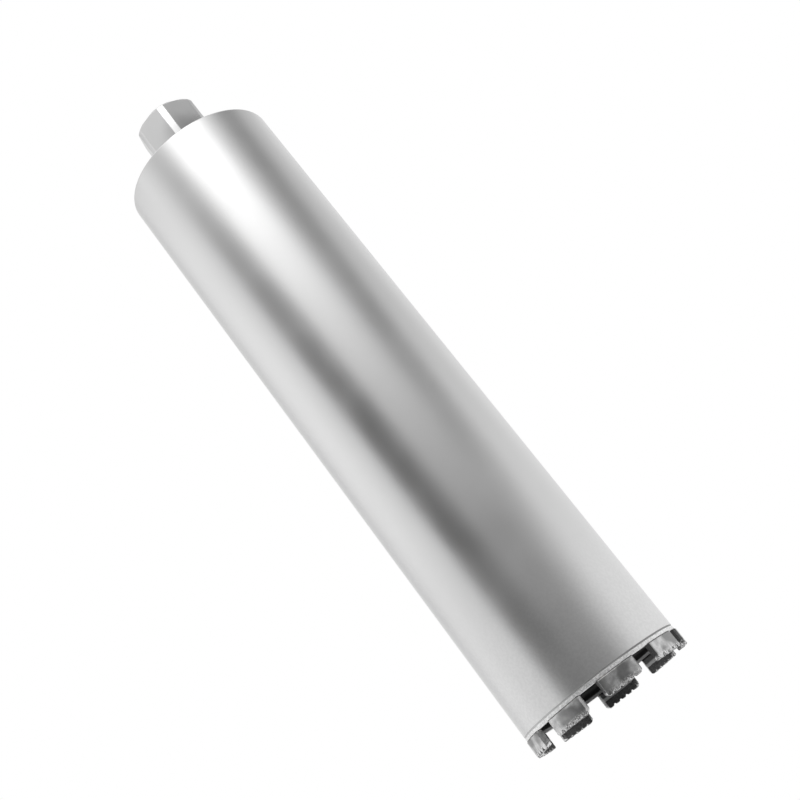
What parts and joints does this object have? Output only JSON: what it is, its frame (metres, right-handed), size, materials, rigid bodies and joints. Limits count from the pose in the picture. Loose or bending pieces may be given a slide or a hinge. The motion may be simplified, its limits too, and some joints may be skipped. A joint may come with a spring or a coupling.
{
  "type": "core drill bit",
  "caption": "Wet core drill bit: a steel tube with notched diamond segments around its rim and a hexagon hub with a through thread on its end plate.",
  "frame": {"origin": "centre of the bit's base, where it stands on its segment tips", "axes": "+Z along the bit's axis from the segments to the hub, -Y towards one corner of the hexagon, +X square to two flats"},
  "size_m": [0.1019, 0.102, 0.4604],
  "materials": {
    "barrel_steel": "satin silver, fine grain",
    "plate_steel": "turned and blasted",
    "hub_steel": "milled flats, turned ends",
    "weld_metal": "weld bead",
    "segment_matrix": "sintered, ground, with diamond grit",
    "braze_alloy": "silver solder"
  },
  "bodies": {
    "root": {"barrel": "barrel_steel", "end_plate": "plate_steel", "plate_weld": "weld_metal", "hub": "hub_steel", "hub_weld": "weld_metal", "segment_1": "segment_matrix", "segment_2": "segment_matrix", "segment_3": "segment_matrix", "segment_4": "segment_matrix", "segment_5": "segment_matrix", "segment_6": "segment_matrix", "segment_7": "segment_matrix", "segment_8": "segment_matrix", "segment_9": "segment_matrix", "braze_1": "braze_alloy", "braze_2": "braze_alloy", "braze_3": "braze_alloy", "braze_4": "braze_alloy", "braze_5": "braze_alloy", "braze_6": "braze_alloy", "braze_7": "braze_alloy", "braze_8": "braze_alloy", "braze_9": "braze_alloy"}
  },
  "joints": []
}
